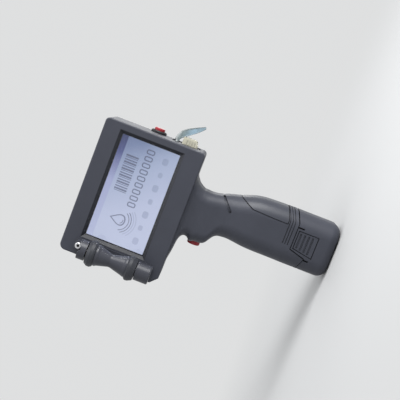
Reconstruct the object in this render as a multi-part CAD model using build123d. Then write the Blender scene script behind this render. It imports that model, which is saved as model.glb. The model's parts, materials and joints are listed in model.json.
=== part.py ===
from build123d import *
import os

# Handheld date code inkjet printer. Millimetres, +Z up, standing on its battery.
# -X is the printing end, +X the rear, -Y the display side, +Y the far side.

# ---------------------------------------------------------------- driving dimensions
WALL = 2.5                      # box wall
GRIP_WALL = 2.8

CASE_FRONT, CASE_REAR = -81.6, 42.4
CASE_LOW, CASE_HIGH = 136.6, 228.8
CASE_NEAR, CASE_FAR = -26.0, 26.0
COVER_BACK = -18.0              # parting plane between display cover and case
FRONT_CORNER, REAR_CORNER = 5.5, 3.8
FRONT_CHAMFER = 6.2             # lower front corner

SCREEN_X, SCREEN_Z = -14.3, 183.9            # centre of the 4.3 inch active area
SCREEN_WIDTH, SCREEN_HEIGHT = 95.04, 53.86
SCREEN_BEVEL = 3.0
GLASS_FRONT = -23.7
GLASS_MARGIN_X, GLASS_MARGIN_Z = 3.0, 5.0

# Grip sections: height, front edge, rear edge, half depth, corner radius
GRIP_SECTIONS = [
    (14.0, -24.6, 24.9, 23.0, 15.0),
    (30.0, -24.6, 24.9, 23.0, 15.0),
    (46.0, -24.5, 24.9, 23.0, 15.0),
    (62.0, -24.4, 24.4, 22.9, 15.0),
    (76.0, -24.1, 23.3, 22.4, 15.0),
    (87.0, -23.0, 20.4, 21.0, 14.5),
    (95.0, -22.6, 17.5, 19.7, 14.0),
    (101.0, -23.3, 15.9, 19.0, 13.0),
    (107.0, -28.7, 13.8, 18.8, 11.5),
    (110.6, -33.4, 12.5, 18.8, 10.5),
    (114.6, -34.7, 11.6, 19.0, 10.0),
    (119.6, -35.0, 11.1, 19.2, 10.0),
    (126.0, -34.0, 11.4, 19.5, 10.0),
]
NECK_SECTIONS = [
    (126.0, -34.0, 11.4, 19.5, 10.0),
    (128.8, -33.0, 12.7, 19.9, 10.0),
    (131.5, -34.3, 14.4, 20.5, 10.0),
    (133.2, -38.0, 16.0, 21.0, 10.0),
    (134.6, -49.0, 17.8, 21.9, 10.0),
    (136.6, -61.0, 21.8, 23.6, 10.0),
    (138.5, -68.0, 25.0, 25.0, 10.0),
]
GRIP_CAVITY_TOP = 133.0

# Battery seam seen from the side, front to rear, and the shadow gap below it
SEAM = [(-30.0, 28.8), (-13.2, 23.8), (-9.0, 38.4), (14.8, 38.4), (27.0, 43.2)]
SEAM_GAP = 0.65
GROOVE_HEIGHTS = (41.4, 43.7, 46.0)          # fine grooves above the seam
PAD_LOW, PAD_FRONT, PAD_GAP = 48.0, 11.6, 0.6
CREASE_STOP = 6.0               # the crease on each side ends this far from the middle of the back
BATTERY_WALL = 2.0
BATTERY_FLOOR = 2.3
BATTERY_BASE_RADIUS = 8.5
STEM_HALF_X, STEM_HALF_Y, STEM_TOP = 20.1, 18.6, 76.0
STEM_LOW = 5.0
STEM_CORNER = 10.0
CELL_RADIUS, CELL_LENGTH, CELL_LOW = 9.1, 65.0, 3.0
CELL_CENTRES = [(-9.3, -8.05), (9.3, -8.05), (0.0, 8.05)]
RELEASE_OUTLINE = [(-6.9, 35.7), (8.9, 35.7), (8.9, 18.0), (-10.2, 18.0)]
RELEASE_GAP = 0.6
RELEASE_THICKNESS = 1.9
RELEASE_SPRING_X = -0.6

TRIGGER_Z = 119.0
TRIGGER_RADIUS = 5.85
TRIGGER_SLEEVE = 6.5
TRIGGER_RIM = 7.0
TRIGGER_FACE = -39.2
TRIGGER_SEAT = -34.8

POWER_Y, POWER_Z = 13.0, 184.2
POWER_RADIUS = 4.9
POWER_FACE = 47.2

BAY_Y = 6.0                     # centre plane of the cartridge
BAY_LOW, BAY_HIGH = 142.0, 171.0
CARTRIDGE_HALF = 10.2
SNOUT_LOW, SNOUT_HIGH = 148.5, 163.5
CARTRIDGE_END = 41.6
RIBBON_ROOT = 35.0

COVER_BOSSES = [(-74.0, 221.2), (35.0, 221.8), (35.0, 145.0), (-74.0, 145.0)]
LUG_HALF = 6.4
BOX_SCREWS = [(-76.6, 211.0), (37.4, 211.0), (37.4, 198.0), (-76.6, 178.0), (-76.6, 144.0)]
GRIP_SCREWS = [(-13.0, 93.5), (2.0, 112.0)]

GUIDE_X, GUIDE_Y = -72.4, -41.0
AXLE_RADIUS = 2.0
UPPER_TYRE_RADIUS, LOWER_TYRE_RADIUS = 11.8, 11.2
GUIDE_SCREW = (-70.7, 211.6)
GUIDE_SCREW_SEAT = -38.0
GUIDE_INNER_SCREW = (-75.0, 152.4)
EAR_LOW, EAR_TOP = 202.7, 209.6
ENCODER_LOW, ENCODER_TOP = 144.0, 156.9
ENCODER_RADIUS = 8.3

os.makedirs("parts", exist_ok=True)


# ---------------------------------------------------------------- helpers
def block(x, y, z):
    """Box between (low, high) pairs."""
    size = Box(x[1] - x[0], y[1] - y[0], z[1] - z[0])
    return Pos((x[0] + x[1]) / 2, (y[0] + y[1]) / 2, (z[0] + z[1]) / 2) * size


def rod_x(radius, start, end, y, z):
    return Pos((start + end) / 2, y, z) * Rot(0, 90, 0) * Cylinder(radius, end - start)


def rod_y(radius, start, end, x, z):
    return Pos(x, (start + end) / 2, z) * Rot(90, 0, 0) * Cylinder(radius, end - start)


def rod_z(radius, start, end, x, y):
    return Pos(x, y, (start + end) / 2) * Cylinder(radius, end - start)


def side_prism(points, y_low, y_high):
    """Solid whose side view is the closed outline of (x, z) points."""
    corners = [Vector(x, y_low, z) for x, z in points]
    face = Face(Wire.make_polygon(corners, close=True))
    return Solid.extrude(face, Vector(0, y_high - y_low, 0))


def turned(points, x, y):
    """Solid of revolution about a vertical axis, from (radius, height) points."""
    corners = [Vector(radius, 0, height) for radius, height in points]
    face = Face(Wire.make_polygon(corners, close=True))
    return Pos(x, y, 0) * revolve(face, Axis.Z)


def socket_screw(head_radius, head_height, shank_radius, shank_length, socket):
    """Screw along +Z: the head's underside is at 0 and the shank runs down."""
    head = Pos(0, 0, head_height / 2) * Cylinder(head_radius, head_height)
    head = chamfer(head.edges().group_by(Axis.Z)[-1], head_height * 0.16)
    shank = Pos(0, 0, -shank_length / 2) * Cylinder(shank_radius, shank_length)
    recess_depth = head_height * 0.6
    recess = extrude(RegularPolygon(socket, 6), recess_depth)
    return head + shank - Pos(0, 0, head_height - recess_depth) * recess


def coil(radius, wire, length, turns):
    """Open coil spring along +Z from 0 to length."""
    path = Helix((length - wire * 2) / turns, length - wire * 2, radius)
    profile = Plane(path @ 0, z_dir=path % 0) * Circle(wire)
    return Pos(0, 0, wire) * sweep(profile, path, is_frenet=True)


def group(solids):
    return Compound([solid for item in solids for solid in item.solids()])


def save(shape, name):
    solids = shape.solids()
    export_step(solids[0] if len(solids) == 1 else Compound(solids), "parts/" + name + ".step")


# ---------------------------------------------------------------- case forms
def case_block(y_low, y_high, inset):
    """Box form: lower front corner cut off, the other three rounded."""
    form = block((CASE_FRONT + inset, CASE_REAR - inset), (y_low, y_high),
                 (CASE_LOW + inset, CASE_HIGH - inset))
    front_edges = form.edges().filter_by(Axis.Y).group_by(Axis.X)[0].sort_by(Axis.Z)
    form = chamfer(front_edges[0], FRONT_CHAMFER - inset * 0.586)
    upper_front = form.edges().filter_by(Axis.Y).group_by(Axis.X)[0].sort_by(Axis.Z)[-1]
    form = fillet(upper_front, FRONT_CORNER - inset * 0.8)
    return fillet(form.edges().filter_by(Axis.Y).group_by(Axis.X)[-1], REAR_CORNER - inset * 0.8)


def lofted(sections, inset):
    faces = []
    for height, front, rear, half_depth, corner in sections:
        outline = RectangleRounded(rear - front - 2 * inset, 2 * (half_depth - inset), corner - inset)
        faces.append(Pos((front + rear) / 2, 0, height) * outline)
    return loft(faces)


def grip_form(inset):
    return lofted(GRIP_SECTIONS, inset)


def near_half(shape):
    return shape & block((-100, 60), (-60, -0.05), (-10, 240))


def far_half(shape):
    return shape & block((-100, 60), (0.05, 60), (-10, 240))


# ---------------------------------------------------------------- display
def display_stack():
    low_x = SCREEN_X - SCREEN_WIDTH / 2
    high_x = SCREEN_X + SCREEN_WIDTH / 2
    low_z = SCREEN_Z - SCREEN_HEIGHT / 2
    high_z = SCREEN_Z + SCREEN_HEIGHT / 2
    glass_x = (low_x - GLASS_MARGIN_X, high_x + GLASS_MARGIN_X)
    glass_z = (low_z - GLASS_MARGIN_Z, high_z + GLASS_MARGIN_Z)

    cover = case_block(CASE_NEAR, COVER_BACK - 0.05, 0)
    cover = fillet(cover.faces().sort_by(Axis.Y)[0].edges(), 1.2)
    cover -= case_block(GLASS_FRONT, COVER_BACK, WALL)
    bevel = loft([
        Plane.XZ.offset(-CASE_NEAR + 0.01) * Pos(SCREEN_X, SCREEN_Z)
        * Rectangle(SCREEN_WIDTH + 2 * SCREEN_BEVEL, SCREEN_HEIGHT + 2 * SCREEN_BEVEL),
        Plane.XZ.offset(-GLASS_FRONT - 0.2) * Pos(SCREEN_X, SCREEN_Z)
        * Rectangle(SCREEN_WIDTH, SCREEN_HEIGHT),
    ])
    cover -= bevel
    for x, z in COVER_BOSSES + [GUIDE_SCREW]:
        cover += rod_y(3.1, GLASS_FRONT - 0.5, COVER_BACK - 0.05, x, z)
    for x, z in COVER_BOSSES:
        cover -= rod_y(1.3, GLASS_FRONT + 0.6, COVER_BACK, x, z)
    cover -= rod_y(1.55, CASE_NEAR - 1, COVER_BACK - 1.0, *GUIDE_SCREW)
    cover -= rod_y(1.55, CASE_NEAR - 1, GLASS_FRONT + 1, *GUIDE_INNER_SCREW)
    save(cover, "display_cover")

    glass = block(glass_x, (GLASS_FRONT + 0.05, GLASS_FRONT + 1.65), glass_z)
    save(fillet(glass.edges().filter_by(Axis.Y), 1.2), "display_window")
    save(block(glass_x, (GLASS_FRONT + 1.75, GLASS_FRONT + 4.75), glass_z), "display_panel")

    plate = case_block(COVER_BACK, COVER_BACK + 1.4, 3.0)
    plate -= block((-50, -20), (-30, 0), (170, 200))
    plate -= block((-8, 22), (-30, 0), (170, 200))
    for x, z in COVER_BOSSES:
        plate -= rod_y(1.3, -30, 0, x, z)
    plate -= rod_y(2.0, -30, 0, *GUIDE_SCREW)
    save(plate, "display_frame")

    screws = [Pos(x, -13.0, z) * Rot(-90, 0, 0) * socket_screw(2.2, 1.8, 1.2, 8.2, 1.1)
              for x, z in COVER_BOSSES]
    save(group(screws), "cover_screws")


# ---------------------------------------------------------------- case
def pad_outline(grow):
    """Palm pad seen from the side; grow widens it for its pocket."""
    return [(31, PAD_LOW + 5.6 - grow), (14.8, PAD_LOW - grow), (PAD_FRONT - grow, PAD_LOW - grow),
            (PAD_FRONT - grow, 58), (PAD_FRONT + 0.7 - grow, 80.5 + grow), (20.4, 97.2 + grow * 2),
            (31, 114)]


def case_shell():
    outer_box = case_block(COVER_BACK + 0.05, CASE_FAR, 0)
    outer_box = fillet(outer_box.faces().sort_by(Axis.Y)[-1].edges(), 3.0)
    grip_outer = grip_form(0)
    grip_inner = grip_form(GRIP_WALL)
    above_seam = side_prism(SEAM + [(27, 160), (-90, 160), (-90, SEAM[0][1])], -40, 40)
    outer = outer_box + (grip_outer & above_seam) + lofted(NECK_SECTIONS, 0)
    neck_cavity = block((-28, 8), (-12, 12), (120, GRIP_CAVITY_TOP))
    shell = outer - case_block(COVER_BACK, CASE_FAR - WALL, WALL) - grip_inner - neck_cavity
    shell -= block((-24, 2), (-9, 9), (125, 145))
    shell -= block((CASE_FRONT - 1, CASE_REAR + 1), (CASE_NEAR - 1, COVER_BACK + 0.05),
                   (CASE_LOW - 0.1, CASE_HIGH + 1))

    # lugs for the display cover screws and bosses for the case screws
    for x, z in COVER_BOSSES:
        shell += block((x - LUG_HALF, x + LUG_HALF), (COVER_BACK + 1.55, -13.0),
                       (z - LUG_HALF, z + LUG_HALF)) & case_block(-20, 0, 0.4)
        shell -= rod_y(1.3, -20, -10, x, z)
    for x, z in BOX_SCREWS:
        shell += rod_y(3.1, -8, CASE_FAR - 1, x, z)
        shell -= rod_y(1.55, -7.5, 40, x, z) + rod_y(3.0, CASE_FAR - 4.0, 40, x, z)
    for x, z in GRIP_SCREWS:
        shell += rod_y(3.1, -17, 17, x, z)
        shell -= rod_y(1.55, -8, 40, x, z) + rod_y(3.0, 13.5, 40, x, z)

    # openings: cartridge slot, snout window, power button, trigger
    shell -= block((CASE_REAR - 4, CASE_REAR + 2), (BAY_Y - 11, BAY_Y + 11), (143.2, 169.8))
    shell -= block((CASE_FRONT - 2, CASE_FRONT + 4), (BAY_Y - 6, BAY_Y + 6),
                   (SNOUT_LOW - 1, SNOUT_HIGH + 1))
    shell -= rod_x(6.25, CASE_REAR - 4, CASE_REAR + 2, POWER_Y, POWER_Z)
    shell -= rod_x(TRIGGER_RIM + 0.1, -45, TRIGGER_SEAT, 0, TRIGGER_Z)
    shell -= rod_x(TRIGGER_SLEEVE + 0.05, -45, -28, 0, TRIGGER_Z)

    # grip details: palm pad pocket, crease and fine grooves above the battery
    pad_bed = grip_form(1.45)
    shell -= side_prism(pad_outline(PAD_GAP), -40, 40) - pad_bed
    crease = side_prism([(17, 112.2), (7.4, 104.9), (1.7, 99.9), (1.1, 98.6), (1.9, 97.5),
                         (3.4, 97.8), (9.6, 103.6), (18, 111.4)], -40, 40)
    crease -= block((0, 30), (-CREASE_STOP, CREASE_STOP), (90, 120))
    shell -= crease - grip_form(2.0)
    shallow = grip_form(0.8)
    for height in GROOVE_HEIGHTS:
        line = [(-6, height), (14.8, height), (28, height + 5.2),
                (28, height + 5.8), (14.8, height + 0.6), (-6, height + 0.6)]
        shell -= side_prism(line, -40, 40) - shallow
    save(near_half(shell), "near_housing")
    save(far_half(shell), "far_housing")

    pad = (grip_form(0) - pad_bed) & side_prism(pad_outline(0), -40, 40)
    save(near_half(pad), "near_palm_pad")
    save(far_half(pad), "far_palm_pad")

    screws = [Pos(x, CASE_FAR - 4.0, z) * Rot(-90, 0, 0) * socket_screw(2.8, 2.4, 1.5, 28, 1.4)
              for x, z in BOX_SCREWS]
    screws += [Pos(x, 13.5, z) * Rot(-90, 0, 0) * socket_screw(2.8, 2.4, 1.5, 20, 1.4)
               for x, z in GRIP_SCREWS]
    save(group(screws), "case_screws")


# ---------------------------------------------------------------- electronics
def electronics():
    board_x, board_z = (-66.0, 26.0), (173.0, 222.0)
    board = block(board_x, (-10.0, -8.4), board_z)
    holes = [(-62, 177), (22, 177), (22, 218), (-62, 218)]
    for x, z in holes:
        board -= rod_y(1.6, -12, 0, x, z)
    save(board, "main_board")
    save(group([rod_y(2.6, -16.5, -10.05, x, z) - rod_y(1.25, -13, -9, x, z) for x, z in holes]),
         "board_spacers")
    screws = [Pos(x, -8.35, z) * Rot(-90, 0, 0) * socket_screw(2.4, 1.6, 1.2, 4, 1.1)
              for x, z in holes]
    save(group(screws), "board_screws")
    chips = [
        block((-40, -26), (-8.35, -6.9), (192, 206)),
        block((-20, -10), (-8.35, -7.2), (194, 203)),
        block((-4, 6), (-8.35, -6.4), (178, 190)),
        block((10, 18), (-8.35, -5.0), (196, 204)),
        block((-55, -47), (-8.35, -5.5), (198, 212)),
        rod_y(3.2, -8.35, -1.0, -50, 186),
        rod_y(3.2, -8.35, -1.0, -41, 184),
    ]
    save(group(chips), "board_chips")
    connectors = [
        block((-9, 9), (-8.35, -4.5), (214, 219.9)),
        block((-36, -26), (-8.35, -3.5), (174.5, 180)),
        block((10.5, 19), (-8.35, -3.5), (208, 213.5)),
    ]
    save(group(connectors), "board_connectors")
    cable = block((-7, 7), (-16.4, -16.2), (181, 224)) + block((-7, 7), (-18.8, -16.2), (181, 181.2))
    cable += block((-7, 7), (-16.4, -6.0), (223.8, 224)) + block((-7, 7), (-6.2, -6.0), (220, 224))
    save(cable, "display_cable")


# ---------------------------------------------------------------- cartridge
def cartridge():
    body = block((-62, CARTRIDGE_END), (BAY_Y - CARTRIDGE_HALF, BAY_Y + CARTRIDGE_HALF), (143.8, 169.2))
    body = fillet(body.edges().filter_by(Axis.X), 1.5)
    body += block((CASE_FRONT + 1, -61), (BAY_Y - 4.8, BAY_Y + 4.8), (SNOUT_LOW, SNOUT_HIGH))
    body -= block((RIBBON_ROOT - 1, CASE_REAR), (BAY_Y - 8, BAY_Y + 8), (166.1, 167.1))
    save(body, "ink_cartridge")
    nozzles = block((CASE_FRONT + 0.3, CASE_FRONT + 0.95), (BAY_Y - 4, BAY_Y + 4), (149.6, 162.4))
    save(nozzles, "nozzle_plate")

    low_x = CARTRIDGE_END + 0.05
    pull = block((low_x, low_x + 3.6), (BAY_Y - 7, BAY_Y + 7), (146.4, 150.0))
    pull += block((low_x, low_x + 7.4), (BAY_Y - 7, BAY_Y + 7), (148.6, 160.8))
    pull = fillet(pull.edges().filter_by(Axis.Y).group_by(Axis.X)[-1], 0.9)
    for rib in range(4):
        low = 150.0 + rib * 2.5
        for side in (-1, 1):
            centre = BAY_Y + side * 7
            pull -= block((low_x + 1.2, low_x + 6.2), (centre - 0.9, centre + 0.9), (low, low + 1.2))
    save(pull, "cartridge_grip")

    top = [(RIBBON_ROOT, 166.9), (CASE_REAR, 166.8), (46.2, 166.1), (50.0, 163.4), (53.8, 157.9),
           (57.6, 151.3), (61.4, 144.3)]
    low = [(60.8, 144.1), (57.0, 151.0), (53.2, 157.6), (49.6, 162.9), (46.0, 165.6), (CASE_REAR, 166.3),
           (RIBBON_ROOT, 166.4)]
    save(side_prism(top + low, BAY_Y - 7, BAY_Y + 7), "pull_ribbon")

    bay = block((-64, CARTRIDGE_END - 2), (BAY_Y - 12, BAY_Y + 12), (BAY_LOW, BAY_HIGH))
    bay -= block((-62.4, 45), (BAY_Y - 10.5, BAY_Y + 10.5), (143.5, 169.5))
    bay -= block((-70, -60), (BAY_Y - 5.2, BAY_Y + 5.2), (SNOUT_LOW - 0.5, SNOUT_HIGH + 0.5))
    bay -= block((-58, -42), (BAY_Y + 9, BAY_Y + 14), (148.5, 164.5))
    save(bay, "cartridge_bay")

    save(block((-60, -40), (BAY_Y + 12.1, BAY_Y + 13.7), (146.5, 166.5)), "contact_board")
    pins = []
    for column in range(4):
        for row in range(4):
            pins.append(rod_y(0.6, BAY_Y + 10.3, BAY_Y + 12.05, -56 + column * 4, 150.5 + row * 4))
    save(group(pins), "contact_pins")

    plate = block((CASE_FRONT - 1.5, CASE_FRONT - 0.02), (BAY_Y - 13, BAY_Y + 13), (143.8, 170.5))
    plate = fillet(plate.edges().filter_by(Axis.X), 3)
    plate = chamfer(plate.faces().sort_by(Axis.X)[0].edges(), 0.5)
    plate -= block((-90, -70), (BAY_Y - 5.4, BAY_Y + 5.4), (SNOUT_LOW - 0.6, SNOUT_HIGH + 0.6))
    holes = [(BAY_Y + side * 10, z) for side in (-1, 1) for z in (146.6, 167.2)]
    for y, z in holes:
        plate -= rod_x(1.1, -90, -70, y, z)
        plate -= rod_x(2.0, -90, CASE_FRONT - 0.9, y, z)
    save(plate, "nose_plate")
    screw = Rot(0, -90, 0) * socket_screw(1.9, 0.6, 1.0, 0.85, 0.9)
    save(group([Pos(CASE_FRONT - 0.9, y, z) * screw for y, z in holes]), "nose_screws")


# ---------------------------------------------------------------- buttons
def buttons():
    bezel = rod_x(7.4, CASE_REAR + 0.02, CASE_REAR + 2.5, POWER_Y, POWER_Z)
    bezel = chamfer(bezel.edges().group_by(Axis.X)[-1], 1.0)
    bezel += rod_x(6.2, CASE_REAR - 8, CASE_REAR + 0.5, POWER_Y, POWER_Z)
    bezel -= rod_x(POWER_RADIUS + 0.1, CASE_REAR - 10, CASE_REAR + 4, POWER_Y, POWER_Z)
    save(bezel, "power_collar")
    cap = rod_x(POWER_RADIUS, 35.5, POWER_FACE, POWER_Y, POWER_Z)
    save(fillet(cap.edges().group_by(Axis.X)[-1], 0.9), "power_button")
    save(Pos(33.0, POWER_Y, POWER_Z) * Rot(0, 90, 0) * coil(3.0, 0.3, 2.45, 3), "power_spring")
    switch = block((20, 32.9), (POWER_Y - 6, POWER_Y + 6), (POWER_Z - 6, POWER_Z + 6))
    save(fillet(switch.edges().filter_by(Axis.X), 1.5), "power_switch")

    collar = rod_x(TRIGGER_RIM, TRIGGER_SEAT - 0.75, TRIGGER_SEAT, 0, TRIGGER_Z)
    collar = fillet(collar.edges().group_by(Axis.X)[0], 0.5)
    collar += rod_x(TRIGGER_SLEEVE, TRIGGER_SEAT - 0.2, -27.5, 0, TRIGGER_Z)
    collar -= rod_x(TRIGGER_RADIUS + 0.1, -50, -20, 0, TRIGGER_Z)
    save(collar, "trigger_collar")
    cap = rod_x(TRIGGER_RADIUS, TRIGGER_FACE, -29.5, 0, TRIGGER_Z)
    save(fillet(cap.edges().group_by(Axis.X)[0], 1.3), "trigger")
    save(Pos(-29.4, 0, TRIGGER_Z) * Rot(0, 90, 0) * coil(3.6, 0.35, 5.3, 4), "trigger_spring")
    switch = block((-24.0, -12.0), (-6, 6), (TRIGGER_Z - 6, TRIGGER_Z + 6))
    save(fillet(switch.edges().filter_by(Axis.X), 1.5), "trigger_switch")


# ---------------------------------------------------------------- battery
def base_form(inset, low, high):
    _, front, rear, half_depth, corner = GRIP_SECTIONS[0]
    outline = RectangleRounded(rear - front - 2 * inset, 2 * (half_depth - inset), corner - inset)
    form = Pos((front + rear) / 2, 0, low) * extrude(outline, high - low)
    return fillet(form.edges().group_by(Axis.Z)[0], BATTERY_BASE_RADIUS - inset)


def battery():
    top_line = [(x + SEAM_GAP, z - SEAM_GAP) for x, z in SEAM]
    below_seam = side_prism(top_line + [(30, -5), (-30, -5)], -40, 40)
    shell = base_form(0, 0, 46) - base_form(BATTERY_WALL, BATTERY_FLOOR, 50)
    shell &= below_seam
    window = [(x + (RELEASE_GAP if x > 0 else -RELEASE_GAP), z + (RELEASE_GAP if z > 25 else -RELEASE_GAP))
              for x, z in RELEASE_OUTLINE]
    shell -= side_prism(window, -40, 40)
    shell -= block((-14.6, -13.4), (-40, 40), (19.0, 30))
    shell -= block((11.2, 12.5), (-40, 40), (32.2, 40))
    save(shell, "battery_shell")

    skin = base_form(0.15, 0, 46) - base_form(RELEASE_THICKNESS, BATTERY_FLOOR, 50)
    plate = skin & side_prism(RELEASE_OUTLINE, -40, 40)
    carve = base_form(1.0, 0, 46)
    for rib in range(4):
        low = 21.6 + rib * 3.7
        lean = (RELEASE_OUTLINE[0][1] - low) / 5.4
        groove = block((-5.4 - lean, 7.5), (-40, 40), (low, low + 1.5))
        plate -= groove - carve
    save(near_half(plate), "near_release_button")
    save(far_half(plate), "far_release_button")
    spring = coil(2.6, 0.25, 2.35, 3)
    save(Pos(RELEASE_SPRING_X, -18.65, 26) * Rot(90, 0, 0) * spring, "near_release_spring")
    save(Pos(RELEASE_SPRING_X, 18.65, 26) * Rot(-90, 0, 0) * spring, "far_release_spring")

    stem = Pos(0, 0, STEM_LOW) * extrude(
        RectangleRounded(2 * STEM_HALF_X, 2 * STEM_HALF_Y, STEM_CORNER), STEM_TOP - STEM_LOW)
    stem = chamfer(stem.edges().group_by(Axis.Z)[-1], 1.0)
    stem -= extrude(RectangleRounded(37.2, 34.6, 7.9), STEM_TOP - 1.8)
    for x in (-7, 0, 7):
        stem -= block((x - 0.8, x + 0.8), (-4, 4), (70, 80))
    save(stem, "battery_stem")

    cells = [rod_z(CELL_RADIUS, CELL_LOW, CELL_LOW + CELL_LENGTH, x, y) for x, y in CELL_CENTRES]
    save(group(cells), "battery_cells")
    top = CELL_LOW + CELL_LENGTH
    links = [block((-12, 12), (-11, -5), (top + 0.05, top + 0.25)),
             block((-3, 12), (-8, 10), (CELL_LOW - 0.25, CELL_LOW - 0.05))]
    save(group(links), "cell_links")
    save(block((-15, 15), (-13, 13), (top + 0.9, top + 2.3)), "battery_board")
    clips = []
    for x in (-7, 0, 7):
        clip = block((x - 1.6, x + 1.6), (-3, 3), (top + 2.35, top + 6.0))
        clips.append(clip - block((x - 0.6, x + 0.6), (-5, 5), (top + 2.9, top + 8)))
    save(group(clips), "battery_contacts")

    dock = block((-17.5, 15.5), (-15, 15), (STEM_TOP + 2, STEM_TOP + 9))
    save(fillet(dock.edges().filter_by(Axis.Z), 6), "battery_dock")
    save(group([block((x - 0.4, x + 0.4), (-3, 3), (STEM_TOP - 4.6, STEM_TOP + 1.98)) for x in (-7, 0, 7)]),
         "dock_blades")


# ---------------------------------------------------------------- guide roller
def guide():
    plate_back = CASE_NEAR - 0.02
    bracket = block((CASE_FRONT + 0.7, GUIDE_X + 6.2), (CASE_NEAR - 2.2, plate_back), (144.6, 216.5))
    bracket = fillet(bracket.edges().filter_by(Axis.Y), 2.5)
    bracket += rod_z(8.7, EAR_LOW, EAR_TOP, GUIDE_X, GUIDE_Y)
    bracket += block((GUIDE_X - 8.4, GUIDE_X + 5.8), (GUIDE_Y, -27), (EAR_LOW, EAR_TOP))
    bracket += rod_y(4.1, GUIDE_SCREW_SEAT, -27, *GUIDE_SCREW)
    bracket += block((GUIDE_X - 8.0, GUIDE_X + 5.8), (GUIDE_Y + 5, -27), (144.6, ENCODER_TOP))
    bracket -= rod_z(ENCODER_RADIUS + 0.05, 143.0, 158.0, GUIDE_X, GUIDE_Y)
    bracket -= rod_z(3.65, 202.0, 206.9, GUIDE_X, GUIDE_Y)
    bracket -= rod_y(3.9, -60, GUIDE_SCREW_SEAT, *GUIDE_SCREW)
    bracket -= rod_y(1.55, -45, -20, *GUIDE_SCREW)
    bracket -= rod_y(1.55, -31, -20, *GUIDE_INNER_SCREW)
    save(bracket, "guide_bracket")

    housing = rod_z(ENCODER_RADIUS, ENCODER_LOW, ENCODER_TOP, GUIDE_X, GUIDE_Y)
    housing = fillet(housing.edges().group_by(Axis.Z)[0], 1.2)
    housing -= rod_z(6.2, 145.8, 155.0, GUIDE_X, GUIDE_Y)
    housing -= rod_z(3.65, 154.0, 158.0, GUIDE_X, GUIDE_Y)
    save(housing, "encoder_housing")

    bushes = [rod_z(3.6, low, high, GUIDE_X, GUIDE_Y) - rod_z(AXLE_RADIUS + 0.05, low - 1, high + 1,
                                                            GUIDE_X, GUIDE_Y)
              for low, high in ((155.05, ENCODER_TOP), (EAR_LOW, 206.8))]
    save(group(bushes), "axle_bushes")
    axle = rod_z(AXLE_RADIUS, 147.5, 206.4, GUIDE_X, GUIDE_Y)
    save(chamfer(axle.edges(), 0.3), "guide_axle")

    bore = AXLE_RADIUS + 0.02
    waist = [(bore, 165.4), (9.3, 165.4), (9.3, 166.9), (8.7, 168.4), (5.9, 179.4), (5.9, 180.8),
             (8.6, 190.6), (9.6, 192.4), (9.6, 194.2), (bore, 194.2)]
    save(turned(waist, GUIDE_X, GUIDE_Y), "waisted_roller")
    upper = [(bore, 194.4), (10.6, 194.4), (UPPER_TYRE_RADIUS, 196.2), (UPPER_TYRE_RADIUS, 198.8),
             (10.0, 201.6), (bore, 201.6)]
    save(turned(upper, GUIDE_X, GUIDE_Y), "upper_tyre")
    lower = [(bore, 157.6), (9.4, 157.6), (LOWER_TYRE_RADIUS, 161.6), (LOWER_TYRE_RADIUS, 163.9),
             (9.8, 165.2), (bore, 165.2)]
    save(turned(lower, GUIDE_X, GUIDE_Y), "lower_tyre")
    disc = rod_z(5.7, 151.0, 151.5, GUIDE_X, GUIDE_Y) - rod_z(bore, 150, 153, GUIDE_X, GUIDE_Y)
    save(disc, "encoder_disc")
    save(block((GUIDE_X + 3, GUIDE_X + 5.4), (GUIDE_Y - 2, GUIDE_Y + 2), (145.85, 150.4)), "encoder_sensor")

    outer_screw = Rot(90, 0, 0) * socket_screw(2.75, 2.0, 1.5, 18.4, 1.3)
    inner_screw = Rot(-90, 0, 0) * socket_screw(2.6, 2.0, 1.5, 7.0, 1.3)
    screws = [Pos(GUIDE_SCREW[0], GUIDE_SCREW_SEAT - 0.05, GUIDE_SCREW[1]) * outer_screw,
              Pos(GUIDE_INNER_SCREW[0], GLASS_FRONT + 0.05, GUIDE_INNER_SCREW[1]) * inner_screw]
    save(group(screws), "guide_screws")


display_stack()
case_shell()
electronics()
cartridge()
buttons()
battery()
guide()
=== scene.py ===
"""Looks of the handheld inkjet coder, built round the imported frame. Metres, the frame's own axes."""
import json
import math
import bmesh
import bpy
from mathutils import Matrix, Vector


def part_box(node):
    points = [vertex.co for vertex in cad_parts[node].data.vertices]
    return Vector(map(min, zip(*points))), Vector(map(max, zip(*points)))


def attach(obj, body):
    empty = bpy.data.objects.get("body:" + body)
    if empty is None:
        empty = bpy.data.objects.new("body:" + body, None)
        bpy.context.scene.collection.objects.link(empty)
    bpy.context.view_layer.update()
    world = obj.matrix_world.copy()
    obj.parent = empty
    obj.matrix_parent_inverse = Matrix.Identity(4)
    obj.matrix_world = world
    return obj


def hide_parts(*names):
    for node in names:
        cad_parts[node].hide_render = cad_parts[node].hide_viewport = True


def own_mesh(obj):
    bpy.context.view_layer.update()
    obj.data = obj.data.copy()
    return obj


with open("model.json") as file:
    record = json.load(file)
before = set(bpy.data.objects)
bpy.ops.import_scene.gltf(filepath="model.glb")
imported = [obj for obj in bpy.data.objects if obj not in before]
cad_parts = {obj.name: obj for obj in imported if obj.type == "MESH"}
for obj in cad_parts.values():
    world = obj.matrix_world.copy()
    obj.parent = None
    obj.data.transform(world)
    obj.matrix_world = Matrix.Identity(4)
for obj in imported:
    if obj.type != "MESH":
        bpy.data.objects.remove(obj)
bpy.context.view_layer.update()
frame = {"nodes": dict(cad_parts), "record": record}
nodes = frame["nodes"]
MM = 0.001

# Cells of noise per metre
BROAD_NOISE, PATCH_NOISE, SCUFF_NOISE = 38, 70, 260
SMEAR_NOISE, STREAK_NOISE, SCRATCH_NOISE, CLOUD_NOISE = 120, 210, 900, 26
EDGE_TONE_REACH = 0.9 * MM            # how far the paler edge wear and the darker painted edge shade come in from an edge
CREVICE_SHADE_REACH = 2.2 * MM           # gaps up to about this wide get painted shade in them


# ---------------------------------------------------------------- node helpers
def new_material(name):
    material = bpy.data.materials.new(name)
    material.use_nodes = True
    tree = material.node_tree
    return material, tree, tree.nodes["Principled BSDF"]


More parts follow.
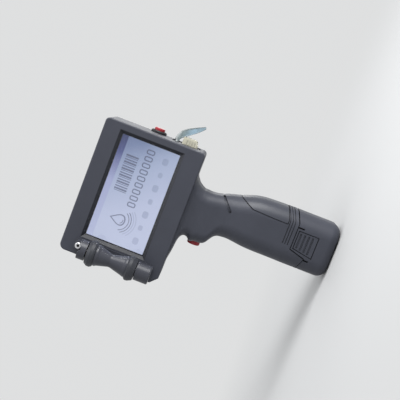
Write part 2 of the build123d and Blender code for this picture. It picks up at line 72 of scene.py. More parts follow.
def add(tree, kind, **settings):
    node = tree.nodes.new(kind)
    for key, value in settings.items():
        if key in node.inputs:
            node.inputs[key].default_value = value
        else:
            setattr(node, key, value)
    return node


def noise(tree, scale, detail=3.0, roughness=0.5, stretch=(1, 1, 1)):
    """Noise in the object's own coordinates, which are metres in the frame."""
    place = add(tree, "ShaderNodeTexCoord")
    mapping = add(tree, "ShaderNodeMapping")
    mapping.inputs["Scale"].default_value = stretch
    tree.links.new(place.outputs["Object"], mapping.inputs["Vector"])
    node = add(tree, "ShaderNodeTexNoise", Scale=scale, Detail=detail, Roughness=roughness)
    tree.links.new(mapping.outputs["Vector"], node.inputs["Vector"])
    return node


def ramp(tree, source, stops):
    """Colour ramp through (position, rgb) stops."""
    node = add(tree, "ShaderNodeValToRGB")
    elements = node.color_ramp.elements
    while len(elements) < len(stops):
        elements.new(0.5)
    for element, (position, color) in zip(elements, stops):
        element.position = position
        element.color = (*color, 1)
    tree.links.new(source, node.inputs["Fac"])
    return node


def spread(tree, source, low, high):
    """Maps a 0..1 value to low..high."""
    node = add(tree, "ShaderNodeMapRange")
    node.inputs["To Min"].default_value = low
    node.inputs["To Max"].default_value = high
    tree.links.new(source, node.inputs["Value"])
    return node.outputs["Result"]


def tinted(color, factor):
    return tuple(min(1.0, c * factor) for c in color)


def edge_mask(tree, radius, low, high):
    """1 on outside and inside edges, 0 on flat faces."""
    bevel = add(tree, "ShaderNodeBevel", samples=4)
    bevel.inputs["Radius"].default_value = radius
    geometry = add(tree, "ShaderNodeNewGeometry")
    dot = add(tree, "ShaderNodeVectorMath", operation="DOT_PRODUCT")
    tree.links.new(bevel.outputs["Normal"], dot.inputs[0])
    tree.links.new(geometry.outputs["Normal"], dot.inputs[1])
    mapped = add(tree, "ShaderNodeMapRange")
    mapped.inputs["From Min"].default_value = high
    mapped.inputs["From Max"].default_value = low
    tree.links.new(dot.outputs["Value"], mapped.inputs["Value"])
    return mapped.outputs["Result"]


def bumped(tree, shader, sources):
    """Adds up bump layers, each (height output, strength, distance in metres)."""
    normal = None
    for height, strength, distance in sources:
        bump = add(tree, "ShaderNodeBump", Strength=strength, Distance=distance)
        tree.links.new(height, bump.inputs["Height"])
        if normal is not None:
            tree.links.new(normal, bump.inputs["Normal"])
        normal = bump.outputs["Normal"]
    tree.links.new(normal, shader.inputs["Normal"])


def crevice_shade_mask(tree, reach):
    """Painted shade: 1 deep in gaps and grooves, where ambient occlusion finds them, 0 on open faces."""
    occlusion = add(tree, "ShaderNodeAmbientOcclusion", samples=8, only_local=False)
    occlusion.inputs["Distance"].default_value = reach
    mapped = add(tree, "ShaderNodeMapRange", interpolation_type="SMOOTHSTEP")
    mapped.inputs["From Min"].default_value = 0.62
    mapped.inputs["From Max"].default_value = 0.12
    tree.links.new(occlusion.outputs["AO"], mapped.inputs["Value"])
    return mapped.outputs["Result"]


# ---------------------------------------------------------------- materials
def moulded(name, color, rough, grain=5200, grain_depth=0.02 * MM, edge_wear_and_shade=0.0, mottle=0.06, specular=0.32,
            crevice_shade=0.0):
    """Moulded plastic: spark-eroded grain, faint mottling, handled patches and painted shade in grooves.

    Below 0 the edge value paints shade on the edges, darker; above 0 the edges are paler with wear.
    """
    material, tree, shader = new_material(name)
    broad = noise(tree, BROAD_NOISE, 4, 0.6)
    tone = ramp(tree, broad.outputs["Fac"],
                [(0.30, tinted(color, 1 - mottle)), (0.70, tinted(color, 1 + mottle))])
    base = tone.outputs["Color"]
    if edge_wear_and_shade:
        # paler edges above 0 are wear; darker edges below 0 are painted shade
        scuff = noise(tree, SCUFF_NOISE, 5, 0.7)
        mask = add(tree, "ShaderNodeMath", operation="MULTIPLY")
        tree.links.new(edge_mask(tree, EDGE_TONE_REACH, 0.80, 0.985), mask.inputs[0])
        tree.links.new(spread(tree, scuff.outputs["Fac"], 0.2, 1.0), mask.inputs[1])
        edge_tone = add(tree, "ShaderNodeMix", data_type="RGBA")
        edge_tone.inputs["B"].default_value = (*tinted(color, 1 + edge_wear_and_shade), 1)
        tree.links.new(mask.outputs["Value"], edge_tone.inputs["Factor"])
        tree.links.new(base, edge_tone.inputs["A"])
        base = edge_tone.outputs["Result"]
    if crevice_shade:
        # painted shade: the colour darkens in the gaps and grooves that occlusion finds
        crevice_shaded = add(tree, "ShaderNodeMix", data_type="RGBA")
        crevice_shaded.inputs["B"].default_value = (*tinted(color, 1 - crevice_shade), 1)
        tree.links.new(crevice_shade_mask(tree, CREVICE_SHADE_REACH), crevice_shaded.inputs["Factor"])
        tree.links.new(base, crevice_shaded.inputs["A"])
        base = crevice_shaded.outputs["Result"]
    tree.links.new(base, shader.inputs["Base Color"])
    patches = noise(tree, PATCH_NOISE, 5, 0.65)
    tree.links.new(spread(tree, patches.outputs["Fac"], rough - 0.07, rough + 0.08),
                   shader.inputs["Roughness"])
    shader.inputs["Specular IOR Level"].default_value = specular
    fine = noise(tree, grain, 2, 0.6)
    coarse = noise(tree, grain / 2.4, 2, 0.5)
    bumped(tree, shader, [(coarse.outputs["Fac"], 0.18, grain_depth * 1.5),
                          (fine.outputs["Fac"], 0.4, grain_depth)])
    return material


def metal(name, color, rough, brushed=(1, 1, 1)):
    """Metal with fine marks, drawn out along the axes where brushed is small."""
    material, tree, shader = new_material(name)
    shader.inputs["Metallic"].default_value = 1.0
    marks = noise(tree, SCRATCH_NOISE, 4, 0.7, brushed)
    tone = ramp(tree, marks.outputs["Fac"], [(0.25, tinted(color, 0.86)), (0.75, tinted(color, 1.06))])
    tree.links.new(tone.outputs["Color"], shader.inputs["Base Color"])
    tree.links.new(spread(tree, marks.outputs["Fac"], rough - 0.06, rough + 0.10),
                   shader.inputs["Roughness"])
    bumped(tree, shader, [(marks.outputs["Fac"], 0.25, 0.02 * MM)])
    return material


def socketed(name, color, rough, node, head_radius, socket_radius):
    """Bright screw head with painted shade in its socket; the screw is the one at the node's upper +X corner.
    """
    blur = 0.08
    material = metal(name, color, rough)
    tree = material.node_tree
    shader = tree.nodes["Principled BSDF"]
    _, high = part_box(node)
    place = add(tree, "ShaderNodeTexCoord")
    flat = add(tree, "ShaderNodeVectorMath", operation="MULTIPLY")
    tree.links.new(place.outputs["Object"], flat.inputs[0])
    flat.inputs[1].default_value = (1, 0, 1)
    distance = add(tree, "ShaderNodeVectorMath", operation="DISTANCE")
    tree.links.new(flat.outputs["Vector"], distance.inputs[0])
    distance.inputs[1].default_value = (high[0] - head_radius, 0, high[2] - head_radius)
    mask = add(tree, "ShaderNodeMapRange")
    mask.inputs["From Min"].default_value = socket_radius * (1 + blur)
    mask.inputs["From Max"].default_value = socket_radius * (1 - blur)
    tree.links.new(distance.outputs["Value"], mask.inputs["Value"])
    # painted shade: a near-black disc over the screw's socket
    dark = add(tree, "ShaderNodeMix", data_type="RGBA")
    dark.inputs["B"].default_value = (0.012, 0.012, 0.013, 1)
    tree.links.new(mask.outputs["Result"], dark.inputs["Factor"])
    tree.links.new(shader.inputs["Base Color"].links[0].from_socket, dark.inputs["A"])
    tree.links.new(dark.outputs["Result"], shader.inputs["Base Color"])
    return material


def clear(name, color, rough, ior):
    """Clear glass with faint smears."""
    material, tree, shader = new_material(name)
    shader.inputs["Base Color"].default_value = (*color, 1)
    shader.inputs["Transmission Weight"].default_value = 1.0
    shader.inputs["IOR"].default_value = ior
    smear = noise(tree, SMEAR_NOISE, 4, 0.6)
    tree.links.new(spread(tree, smear.outputs["Fac"], rough * 0.5, rough * 1.6), shader.inputs["Roughness"])
    return material


def along(tree, direction, low, high):
    """0..1 ramp along a direction of the frame, between two distances in metres, a little uneven."""
    unevenness = 0.16
    place = add(tree, "ShaderNodeTexCoord")
    dot = add(tree, "ShaderNodeVectorMath", operation="DOT_PRODUCT")
    tree.links.new(place.outputs["Object"], dot.inputs[0])
    dot.inputs[1].default_value = direction
    cloud = noise(tree, CLOUD_NOISE, 2, 0.5)
    shift = add(tree, "ShaderNodeMath", operation="MULTIPLY_ADD")
    tree.links.new(cloud.outputs["Fac"], shift.inputs[0])
    shift.inputs[1].default_value = (high - low) * unevenness
    tree.links.new(dot.outputs["Value"], shift.inputs[2])
    mapped = add(tree, "ShaderNodeMapRange")
    mapped.inputs["From Min"].default_value = low
    mapped.inputs["From Max"].default_value = high
    tree.links.new(shift.outputs["Value"], mapped.inputs["Value"])
    return mapped.outputs["Result"]


def lit(name, stops, direction, low, high):
    """Lit display area whose colour drifts along a direction of the frame."""
    material, tree, shader = new_material(name)
    shader.inputs["Base Color"].default_value = (0.02, 0.02, 0.03, 1)
    shader.inputs["Roughness"].default_value = 0.35
    colors = ramp(tree, along(tree, direction, low, high), stops)
    tree.links.new(colors.outputs["Color"], shader.inputs["Emission Color"])
    shader.inputs["Emission Strength"].default_value = 1.0
    return material


def film(name, stops, node):
    """Thin film, partly see-through, with faint creases across it; its tint changes down the node, and its
    darker stops are painted shade.
    """
    material, tree, shader = new_material(name)
    low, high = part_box(node)
    tint_and_shade = ramp(tree, along(tree, (0, 0, -1), -high[2], -low[2]), stops)
    streaks = noise(tree, STREAK_NOISE, 3, 0.6, (1, 0.12, 1))
    shade = ramp(tree, streaks.outputs["Fac"], [(0.3, (0.7, 0.7, 0.7)), (0.7, (1.0, 1.0, 1.0))])
    tone = add(tree, "ShaderNodeMix", data_type="RGBA", blend_type="MULTIPLY")
    tone.inputs["Factor"].default_value = 1.0
    tree.links.new(tint_and_shade.outputs["Color"], tone.inputs["A"])
    tree.links.new(shade.outputs["Color"], tone.inputs["B"])
    tree.links.new(tone.outputs["Result"], shader.inputs["Base Color"])
    shader.inputs["Transmission Weight"].default_value = 0.30
    shader.inputs["IOR"].default_value = 1.38
    tree.links.new(spread(tree, streaks.outputs["Fac"], 0.12, 0.34), shader.inputs["Roughness"])
    bumped(tree, shader, [(streaks.outputs["Fac"], 0.15, 0.05 * MM)])
    return material


# the crevice amounts in the materials below paint shade into gaps and grooves
CASE = (0.040, 0.043, 0.056)
# case and cover: painted shade darkens their edges
case = moulded("case_plastic", CASE, 0.46, edge_wear_and_shade=-0.5, specular=0.26, crevice_shade=0.9)
cover = moulded("cover_plastic", CASE, 0.46, edge_wear_and_shade=-0.5, specular=0.26, crevice_shade=0.9)
pad_rubber = moulded("palm_rubber", (0.038, 0.041, 0.053), 0.38, grain=4200, crevice_shade=0.8)
roller_plastic = moulded("roller_plastic", (0.038, 0.040, 0.051), 0.34, edge_wear_and_shade=0.5, crevice_shade=0.8)
tyre_rubber = moulded("tyre_rubber", (0.029, 0.031, 0.038), 0.50, grain=4600, grain_depth=0.03 * MM,
                      crevice_shade=0.8)
black = moulded("black_plastic", (0.012, 0.012, 0.014), 0.42, edge_wear_and_shade=0.6)
red = moulded("red_plastic", (0.26, 0.016, 0.024), 0.34, grain=6000, grain_depth=0.01 * MM, mottle=0.05)
cream = moulded("cream_plastic", (0.47, 0.455, 0.37), 0.42, mottle=0.10, crevice_shade=0.75)
ivory = moulded("connector_plastic", (0.60, 0.57, 0.48), 0.45)
chip = moulded("chip_resin", (0.022, 0.022, 0.025), 0.42)
wrap = moulded("cell_wrap", (0.03, 0.18, 0.34), 0.30)
board = moulded("solder_mask", (0.012, 0.10, 0.042), 0.34)
flex = moulded("flex_film", (0.45, 0.20, 0.04), 0.30)
black_steel = metal("blackened_steel", (0.10, 0.10, 0.11), 0.38, brushed=(1, 1, 12))
steel = metal("brushed_steel", (0.60, 0.60, 0.62), 0.30, brushed=(1, 1, 12))
bright = socketed("bright_screw", (0.74, 0.74, 0.76), 0.34, "guide_screws", head_radius=2.75 * MM,
                  socket_radius=1.3 * MM)
brass = metal("turned_brass", (0.72, 0.54, 0.26), 0.28, brushed=(1, 1, 14))
gold = metal("gold_plate", (0.80, 0.58, 0.20), 0.22)
glass = clear("touch_glass", (0.96, 0.97, 1.0), 0.02, 1.45)
# ribbon_film is darker near the cartridge: painted shade on the film's root, bluer tint further down
ribbon_film = film("ribbon_film", [(0.0, (0.12, 0.155, 0.16)), (0.30, (0.13, 0.175, 0.185)),
                                   (0.60, (0.19, 0.28, 0.35)), (1.0, (0.17, 0.235, 0.27))], "pull_ribbon")
# ribbon_edge_shade is a darker copy of the film: painted shade along its outer edge
ribbon_edge_shade = film("ribbon_edge_shade", [(0.0, (0.10, 0.13, 0.135)), (1.0, (0.105, 0.14, 0.155))], "pull_ribbon")

# The display's picture darkens towards its upper rear corner, its status bar towards the rear
UP_AND_BACK = (0.86, 0.0, 0.51)
PICTURE_SPAN = (0.052, 0.142)
BACK = (1.0, 0.0, 0.0)
STATUS_SPAN = (-0.055, 0.040)
picture_light = lit("picture_light", [(0.0, (0.50, 0.545, 0.70)), (0.28, (0.47, 0.515, 0.67)),
                                      (0.65, (0.35, 0.41, 0.56)), (0.90, (0.155, 0.205, 0.345)),
                                      (1.0, (0.13, 0.17, 0.30))], UP_AND_BACK, *PICTURE_SPAN)
mark_dark = lit("mark_dark", [(0.0, (0.21, 0.23, 0.33)), (0.6, (0.12, 0.145, 0.23)),
                              (1.0, (0.045, 0.06, 0.12))], UP_AND_BACK, *PICTURE_SPAN)
mark_faint = lit("mark_faint", [(0.0, (0.39, 0.43, 0.58)), (0.6, (0.29, 0.34, 0.48)),
                                (1.0, (0.12, 0.16, 0.28))], UP_AND_BACK, *PICTURE_SPAN)
status_light = lit("status_light", [(0.0, (0.44, 0.48, 0.66)), (0.6, (0.33, 0.36, 0.56)),
                                    (0.85, (0.055, 0.072, 0.215)), (1.0, (0.016, 0.028, 0.115))],
                   BACK, *STATUS_SPAN)

SLOT_MATERIALS = {
    "case": case, "palm_pad": pad_rubber, "tyre": tyre_rubber, "roller": roller_plastic, "glass": glass,
    "panel": black, "red": red, "collar": black, "steel": steel, "screw_steel": bright, "brass": brass,
    "board": board, "chip": chip, "connector": ivory, "flex": flex, "cartridge": black, "cream": cream,
    "bay": black, "gold": gold, "cell_wrap": wrap, "ribbon": ribbon_film,
}
NODE_MATERIALS = {"display_cover": cover, "guide_axle": black_steel}
WINDOW_EDGE_X, WINDOW_EDGE_Z = 0.1 * MM, -1.9 * MM      # from the glass's edge out to the bevel's, + outwards
PAINTED_BEVEL_SHADE = 0.45


def paint_window_bevel_shade(material, factor):
    """Painted shade on the slopes round the display window: the parts of the material within the opening's
    edges.
    """
    tree = material.node_tree
    shader = tree.nodes["Principled BSDF"]
    low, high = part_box("display_window")
    place = add(tree, "ShaderNodeTexCoord")
    parts = add(tree, "ShaderNodeSeparateXYZ")
    tree.links.new(place.outputs["Object"], parts.inputs["Vector"])
    inside = add(tree, "ShaderNodeMath", operation="MULTIPLY")
    for k, (axis, edge) in enumerate(((0, WINDOW_EDGE_X), (2, WINDOW_EDGE_Z))):
        near = add(tree, "ShaderNodeMath", operation="COMPARE")
        tree.links.new(parts.outputs[axis], near.inputs[0])
        near.inputs[1].default_value = (low[axis] + high[axis]) / 2
        near.inputs[2].default_value = (high[axis] - low[axis]) / 2 + edge
        tree.links.new(near.outputs["Value"], inside.inputs[k])
    # painted shade: the case colour darkened within the window's edges
    shaded = add(tree, "ShaderNodeMix", data_type="RGBA")
    shaded.inputs["B"].default_value = (*tinted(CASE, factor), 1)
    tree.links.new(inside.outputs["Value"], shaded.inputs["Factor"])
    tree.links.new(shader.inputs["Base Color"].links[0].from_socket, shaded.inputs["A"])
    tree.links.new(shaded.outputs["Result"], shader.inputs["Base Color"])


def dress_cad_nodes():
    """Every carried-over CAD node takes the material of its slot, or its own."""
    for row in frame["record"]["subparts"]:
        mesh = nodes[row["node"]].data
        mesh.materials.clear()
        mesh.materials.append(NODE_MATERIALS.get(row["node"], SLOT_MATERIALS[row["material_slot"]]))


# paints shade on the display cover's window slopes
paint_window_bevel_shade(cover, PAINTED_BEVEL_SHADE)
dress_cad_nodes()


# ---------------------------------------------------------------- mesh pieces
def finished(name, mesh, materials, body, replaced):
    """Object from a bmesh: rides on a body and stands for the CAD node that it replaces."""
    bmesh.ops.recalc_face_normals(mesh, faces=mesh.faces)
    data = bpy.data.meshes.new(name)
    mesh.to_mesh(data)
    mesh.free()
    for material in materials:
        data.materials.append(material)
    piece = bpy.data.objects.new(name, data)
    bpy.context.scene.collection.objects.link(piece)
    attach(piece, body)
    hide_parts(replaced)
    return piece


def plate(mesh, outline, front, back, material_index):
    """Closed plate facing -Y whose outline is a list of (x, z) points."""
    near = [mesh.verts.new((x, front, z)) for x, z in outline]
    far = [mesh.verts.new((x, back, z)) for x, z in outline]
    faces = [mesh.faces.new(near), mesh.faces.new(far[::-1])]
    for k in range(len(outline)):
        following = (k + 1) % len(outline)
        faces.append(mesh.faces.new((near[k], far[k], far[following], near[following])))
    for face in faces:
        face.material_index = material_index


def rounded(x, z, width, height, radius, steps=5):
    """Outline of a rounded rectangle centred on x, z."""
    points = []
    for quarter, (side, rise) in enumerate(((1, 1), (-1, 1), (-1, -1), (1, -1))):
        for k in range(steps + 1):
            angle = math.pi / 2 * (quarter + k / steps)
            points.append((x + side * (width / 2 - radius) + radius * math.cos(angle),
                           z + rise * (height / 2 - radius) + radius * math.sin(angle)))
    return points


def droplet(x, z, radius, steps=36):
    """Outline of a drop with its point up: a circle whose width narrows towards the top."""
    narrowing = 1.5
    points = []
    for k in range(steps):
        angle = 2 * math.pi * k / steps
        points.append((x + radius * math.sin(angle) * math.sin(angle / 2) ** narrowing,
                       z + radius * math.cos(angle)))
    return points


def ring_part(mesh, x, z, inner, outer, start, sweep, front, back, material_index, steps=20):
    """Flat arc of a ring."""
    edge = []
    for radius, order in ((outer, range(steps + 1)), (inner, range(steps, -1, -1))):
        for k in order:
            angle = math.radians(start + sweep * k / steps)
            edge.append((x + radius * math.cos(angle), z + radius * math.sin(angle)))
    plate(mesh, edge, front, back, material_index)


def loop_part(mesh, outer, inner, front, back, material_index):
    """Flat closed loop between two outlines that have the same number of points."""
    rings = [[mesh.verts.new((x, y, z)) for x, z in outline]
             for y in (front, back) for outline in (outer, inner)]
    near_outer, near_inner, far_outer, far_inner = rings
    count = len(outer)
    for first, second in ((near_outer, near_inner), (near_inner, far_inner),
                          (far_inner, far_outer), (far_outer, near_outer)):
        for k in range(count):
            following = (k + 1) % count
            face = mesh.faces.new((first[k], first[following], second[following], second[k]))
            face.material_index = material_index


BODY, PICTURE, STATUS, DARK, FAINT = range(5)       # material slots of the screen


def drop_mark(mesh, x, z, front, back):
    """Drop outline with a highlight, and arcs of spray below it that grow shorter outwards."""
    outer, inner, inner_drop = 7.4 * MM, 5.9 * MM, 0.25 * MM
    loop_part(mesh, droplet(x, z, outer), droplet(x, z - inner_drop, inner), front, back, DARK)
    light_z, light_inner, light_outer, light_angle, light_sweep = z - 2.2 * MM, 2.6 * MM, 3.3 * MM, 200, 90
    ring_part(mesh, x, light_z, light_inner, light_outer, light_angle, light_sweep, front, back, DARK)
    arcs, dark_arcs = 4, 2
    arc_z, first_radius, pitch, line = z - 1.0 * MM, 9.0 * MM, 2.1 * MM, 0.75 * MM
    first_angle, angle_step, first_sweep, sweep_step = 196, 9, 128, 12
    for arc in range(arcs):
        radius = first_radius + arc * pitch
        start, sweep = first_angle + arc * angle_step, first_sweep - arc * sweep_step
        tone = DARK if arc < dark_arcs else FAINT
        ring_part(mesh, x, arc_z, radius, radius + line, start, sweep, front, back, tone)


def bar_pattern(mesh, left, z, height, front, back):
    """Plain bars of three widths and gaps, in an order that says nothing."""
    bars, corner = 17, 0.1 * MM
    thin, width_step = 0.55, 0.5
    tight, gap_step = 0.65, 0.35
    x = left
    for bar in range(bars):
        width = (thin + width_step * ((bar * 5) % 3)) * MM
        plate(mesh, rounded(x + width / 2, z, width, height, corner), front, back, DARK)
        x += width + (tight + gap_step * ((bar * 7) % 3)) * MM


def empty_cells(mesh, left, z, pitch, front, back):
    """Row of rounded cells with nothing in them."""
    cells, width, height, line = 9, 4.5 * MM, 7.6 * MM, 1.05 * MM
    corner, inner_corner = 1.7 * MM, 0.75 * MM
    for cell in range(cells):
        x = left + pitch * cell
        inner = rounded(x, z, width - 2 * line, height - 2 * line, inner_corner)
        loop_part(mesh, rounded(x, z, width, height, corner), inner, front, back, DARK)


def button_row(mesh, left, z, pitch, large, small, front, back):
    """Faint plain buttons, large and small in turn."""
    buttons, width_share, corner_share = 7, 1.2, 0.38
    for button in range(buttons):
        size = small if button % 2 else large
        outline = rounded(left + pitch * button, z, size * width_share, size, size * corner_share)
        plate(mesh, outline, front, back, FAINT)


def screen_marks(mesh, left, top, width, height, front, back):
    """Plain marks on the picture, placed by shares of its width and height."""
    drop_mark(mesh, left + width * 0.235, top - height * 0.40, front, back)
    bar_pattern(mesh, left + width * 0.485, top - height * 0.275, height * 0.215, front, back)
    empty_cells(mesh, left + width * 0.405, top - height * 0.535, width * 0.0655, front, back)
    button_row(mesh, left + width * 0.10, top - height * 0.81, width * 0.132, height * 0.10, height * 0.075,
               front, back)


def screen_picture():
    """Display panel with its lit picture, a thin black border showing round it."""
    low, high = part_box("display_panel")
    layer = 0.03 * MM
    border_width, border_height, shift = 6.8 * MM, 10.6 * MM, 0.15 * MM
    status_share, corner, status_corner = 0.105, 0.4 * MM, 0.3 * MM
    face = low[1] - layer
    raised = face - layer
    centre_x, centre_z = (low[0] + high[0]) / 2 + shift, (low[2] + high[2]) / 2
    width, height = high[0] - low[0] - border_width, high[2] - low[2] - border_height
    left, top = centre_x - width / 2, centre_z + height / 2
    mesh = bmesh.new()
    slab = [(low[0], low[2]), (high[0], low[2]), (high[0], high[2]), (low[0], high[2])]
    plate(mesh, slab, low[1], high[1], BODY)
    plate(mesh, rounded(centre_x, centre_z, width, height, corner), face, low[1], PICTURE)
    bar_height = height * status_share
    bar = rounded(centre_x, top - bar_height / 2, width, bar_height, status_corner)
    plate(mesh, bar, raised, face, STATUS)
    screen_marks(mesh, left, top, width, height, raised, face)
    finished("screen_picture", mesh, [black, picture_light, status_light, mark_dark, mark_faint],
             "housing", "display_panel")


def eased(value, start, end):
    """Smooth step from 0 to 1 between start and end."""
    t = min(1.0, max(0.0, (value - start) / (end - start)))
    return t * t * (3 - 2 * t)


def smooth_path(points, steps):
    """Points along a smooth line through the given ones."""
    ends = [points[0] * 2 - points[1], *points, points[-1] * 2 - points[-2]]
    line = []
    for k in range(1, len(ends) - 2):
        a, b, c, d = ends[k - 1:k + 3]
        for step in range(steps):
            t = step / steps
            line.append(0.5 * ((2 * b) + (c - a) * t + (2 * a - 5 * b + 4 * c - d) * t * t
                               + (3 * b - a - 3 * c + d) * t ** 3))
    return [*line, points[-1]]


# Shares of the ribbon's reach and drop along its way, from the cartridge to its free end
RIBBON_STATIONS = ((0.01, 0.005), (0.28, 0.010), (0.42, 0.045), (0.56, 0.165), (0.70, 0.395), (0.83, 0.68),
                   (0.95, 0.985))
# Turns towards -Y, in degrees, and the shares of the length over which each happens
RIBBON_TURNS = ((21, 0.11, 0.24), (7, 0.35, 0.60))


def pull_ribbon():
    """Clear film strip out of the cartridge: it curls down behind the case and turns towards -Y."""
    half_thickness, cup_depth, narrowing = 0.16 * MM, 0.5 * MM, 0.72
    across, shaded_edge_strips, steps = 8, 2, 8
    low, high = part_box("pull_ribbon")
    reach, drop = high[0] - low[0], high[2] - low[2]
    middle = Vector((0, (low[1] + high[1]) / 2, 0))
    half_width = (high[1] - low[1]) / 2
    line = smooth_path([Vector((low[0] + reach * along_x, 0, high[2] - drop * down))
                        for along_x, down in RIBBON_STATIONS], steps)
    mesh = bmesh.new()
    rows = []
    for k, spot in enumerate(line):
        t = k / (len(line) - 1)
        tangent = (line[min(k + 1, len(line) - 1)] - line[max(k - 1, 0)]).normalized()
        normal = Vector((tangent.z, 0, -tangent.x))
        turn = sum(math.radians(degrees) * eased(t, start, end) for degrees, start, end in RIBBON_TURNS)
        width_way = Vector((0, 1, 0)) * math.cos(turn) - normal * math.sin(turn)
        flat_way = tangent.cross(width_way).normalized()
        narrow = half_width * (1 - narrowing * t ** 5)
        row = []
        for side in (1, -1):
            for step in range(across + 1):
                u = (2 * step / across - 1) * side
                cup = cup_depth * (1 - u * u) * math.sin(math.pi * t)
                sideways = width_way * (narrow * (u - 1) + half_width)
                place = spot + sideways + flat_way * (side * half_thickness + cup)
                row.append(mesh.verts.new(place + middle))
        rows.append(row)
    count = len(rows[0])
    for first, second in zip(rows, rows[1:]):
        for k in range(count):
            face = mesh.faces.new((first[k], first[(k + 1) % count], second[(k + 1) % count], second[k]))
            face.smooth = True
            # strips along the film's outer edge take the darker copy: painted shade
            face.material_index = 1 if abs(k - across) <= shaded_edge_strips else 0
    mesh.faces.new(rows[0][::-1])
    mesh.faces.new(rows[-1])
    finished("ribbon_strip", mesh, [ribbon_film, ribbon_edge_shade], "cartridge", "pull_ribbon")


def finger_tab():
    """Moulded tab on the cartridge: notched down its back edge, with ribs across both sides."""
    low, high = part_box("cartridge_grip")
    ribs, pitch, rib_height, rib_depth, rib_corner = 5, 2.4 * MM, 1.3 * MM, 0.7 * MM, 0.5 * MM
    chamfer, notch, slope, notch_length = 0.9 * MM, 0.6 * MM, 0.35 * MM, 1.2 * MM
    first_notch, rib_gap, rib_margin, rib_shift = 1.6 * MM, 0.3 * MM, 2.2 * MM, 0.8 * MM
    step_z, step_x, heel = low[2] + 2.2 * MM, low[0] + 3.6 * MM, 0.8 * MM
    mesh = bmesh.new()
    back = [(high[0] - chamfer, high[2]), (high[0], high[2] - chamfer)]
    for rib in range(ribs):
        top = high[2] - first_notch - rib * pitch
        bottom = top - notch_length
        back += [(high[0], top), (high[0] - notch, top - slope), (high[0] - notch, bottom + slope),
                 (high[0], bottom)]
    core = [(low[0], high[2]), *back, (high[0] - heel, step_z), (step_x, step_z), (step_x, low[2]),
            (low[0], low[2])]
    plate(mesh, core, low[1] + rib_depth, high[1] - rib_depth, 0)
    width = high[0] - low[0] - rib_margin
    centre_x = low[0] + width / 2 + rib_shift
    for rib in range(ribs):
        centre_z = high[2] - first_notch - (rib + 1) * pitch + rib_height / 2 + rib_gap
        for near, far in ((low[1], low[1] + rib_depth), (high[1] - rib_depth, high[1])):
            plate(mesh, rounded(centre_x, centre_z, width, rib_height, rib_corner), near, far, 0)
    finished("finger_tab", mesh, [cream], "cartridge", "cartridge_grip")


def coil_spring(button, body, direction, wire, turns):
    """Open coil in its CAD node's box, wound along direction."""
    node, joint = button + "_spring", button + "_press"
    low, high = (Vector(corner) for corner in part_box(node))
    along_axis = Vector(direction)
    length = abs((high - low).dot(along_axis))
    centre = (low + high) / 2
    first_side = Vector((0, 0, 1))
    second_side = along_axis.cross(first_side)
    radius = (high.z - low.z) / 2 - wire
    around, steps_per_turn = 8, 28
    steps = turns * steps_per_turn
    mesh = bmesh.new()
    rings = []
    for k in range(steps + 1):
        t = k / steps
        angle = 2 * math.pi * turns * t
        outward = first_side * math.cos(angle) + second_side * math.sin(angle)
        middle = centre + along_axis * ((t - 0.5) * (length - 2 * wire)) + outward * radius
        ring = []
        for j in range(around):
            bend = 2 * math.pi * j / around
            away = outward * math.cos(bend) + along_axis * math.sin(bend)
            ring.append(mesh.verts.new(middle + wire * away))
        rings.append(ring)
    for start, end in zip(rings, rings[1:]):
        for j in range(around):
            following = (j + 1) % around
            face = mesh.faces.new((start[j], end[j], end[following], start[following]))
            face.smooth = True
    mesh.faces.new(rings[0])
    mesh.faces.new(rings[-1][::-1])
    piece = finished(button + "_coil", mesh, [steel], body, node)
    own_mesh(piece)


screen_picture()
pull_ribbon()
finger_tab()
coil_spring("trigger", "housing", direction=(1, 0, 0), wire=0.35 * MM, turns=4)
coil_spring("power", "housing", direction=(-1, 0, 0), wire=0.30 * MM, turns=3)
coil_spring("near_release", "battery", direction=(0, 1, 0), wire=0.25 * MM, turns=3)
coil_spring("far_release", "battery", direction=(0, -1, 0), wire=0.25 * MM, turns=3)


# ---------------------------------------------------------------- floor, lights, camera
BACKGROUND = (0.735, 0.742, 0.745)
FLOOR_PAINT = (0.50, 0.505, 0.51)
FLOOR_RADIUS, FLOOR_DROP = 4.0, 0.2 * MM
FADE_START, FADE_END = 0.10, 0.60        # distances from the origin over which the floor melts away
# name, place, aim, size, watts
LAMPS = (("key", (0.74, -0.36, 0.36), (0.0, 0.0, 0.13), 0.60, 11.0),
         ("top", (0.15, -0.25, 0.95), (0.0, 0.0, 0.15), 0.5, 2.5),
         ("back", (0.1, 0.9, 0.5), (0.0, 0.0, 0.14), 0.8, 3.0))


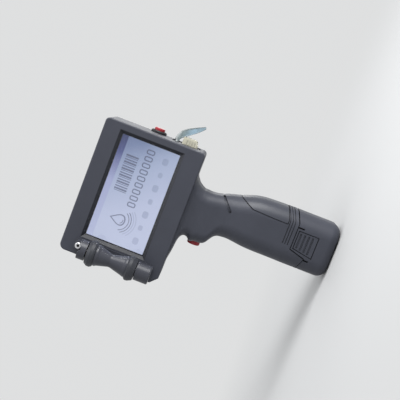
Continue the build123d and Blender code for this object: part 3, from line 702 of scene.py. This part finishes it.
def make_floor():
    """Pale disc that melts into the same pale surroundings."""
    bpy.ops.mesh.primitive_circle_add(vertices=96, radius=FLOOR_RADIUS, fill_type="NGON",
                                      location=(0, 0, -FLOOR_DROP))
    floor = bpy.context.object
    floor.name = "floor"
    material, tree, shader = new_material("floor_paint")
    shader.inputs["Base Color"].default_value = (*FLOOR_PAINT, 1)
    shader.inputs["Roughness"].default_value = 0.9
    shader.inputs["Specular IOR Level"].default_value = 0.1
    place = add(tree, "ShaderNodeTexCoord")
    distance = add(tree, "ShaderNodeVectorMath", operation="LENGTH")
    tree.links.new(place.outputs["Object"], distance.inputs[0])
    fade = add(tree, "ShaderNodeMapRange", interpolation_type="SMOOTHSTEP")
    fade.inputs["From Min"].default_value = FADE_START
    fade.inputs["From Max"].default_value = FADE_END
    tree.links.new(distance.outputs["Value"], fade.inputs["Value"])
    glow = add(tree, "ShaderNodeEmission")
    glow.inputs["Color"].default_value = (*BACKGROUND, 1)
    blend = add(tree, "ShaderNodeMixShader")
    tree.links.new(fade.outputs["Result"], blend.inputs["Fac"])
    tree.links.new(shader.outputs["BSDF"], blend.inputs[1])
    tree.links.new(glow.outputs["Emission"], blend.inputs[2])
    tree.links.new(blend.outputs["Shader"], tree.nodes["Material Output"].inputs["Surface"])
    floor.data.materials.append(material)


def make_lights():
    """Pale surroundings, a soft key lamp from the rear and weaker ones from above and behind."""
    world = bpy.data.worlds.new("studio")
    world.use_nodes = True
    world.node_tree.nodes["Background"].inputs["Color"].default_value = (*BACKGROUND, 1)
    world.node_tree.nodes["Background"].inputs["Strength"].default_value = 1.0
    bpy.context.scene.world = world

    for name, place, target, size, power in LAMPS:
        data = bpy.data.lights.new(name, "AREA")
        data.size = size
        data.energy = power
        lamp = bpy.data.objects.new(name, data)
        lamp.location = place
        lamp.rotation_euler = (Vector(target) - Vector(place)).to_track_quat("-Z", "Y").to_euler()
        bpy.context.scene.collection.objects.link(lamp)
    bpy.context.scene.view_settings.view_transform = "Standard"


CAMERA_DISTANCE = 0.80
CAMERA_AZIMUTH = math.radians(6.5)
CAMERA_ROLL = math.radians(68.8)
FRAME_WIDTH_AT_SCREEN = 0.3497          # what the picture spans in the plane of the screen
SCREEN_PLANE_Y = -0.025
AIM = Vector((0.0033, SCREEN_PLANE_Y, 0.1272))


def make_camera():
    """Nearly square on to the display, rolled so that the grip points right and a little down."""
    back = Vector((math.sin(CAMERA_AZIMUTH), -math.cos(CAMERA_AZIMUTH), 0))
    side = Vector((math.cos(CAMERA_AZIMUTH), math.sin(CAMERA_AZIMUTH), 0))
    rise = Vector((0, 0, 1))
    right = side * math.cos(CAMERA_ROLL) - rise * math.sin(CAMERA_ROLL)
    up = side * math.sin(CAMERA_ROLL) + rise * math.cos(CAMERA_ROLL)
    data = bpy.data.cameras.new("camera")
    data.sensor_width = 36
    data.lens = data.sensor_width * CAMERA_DISTANCE / FRAME_WIDTH_AT_SCREEN
    camera = bpy.data.objects.new("camera", data)
    turn = Matrix((right, up, back)).transposed().to_4x4()
    camera.matrix_world = Matrix.Translation(AIM + back * CAMERA_DISTANCE) @ turn
    bpy.context.scene.collection.objects.link(camera)
    bpy.context.scene.camera = camera


make_floor()
make_lights()
make_camera()
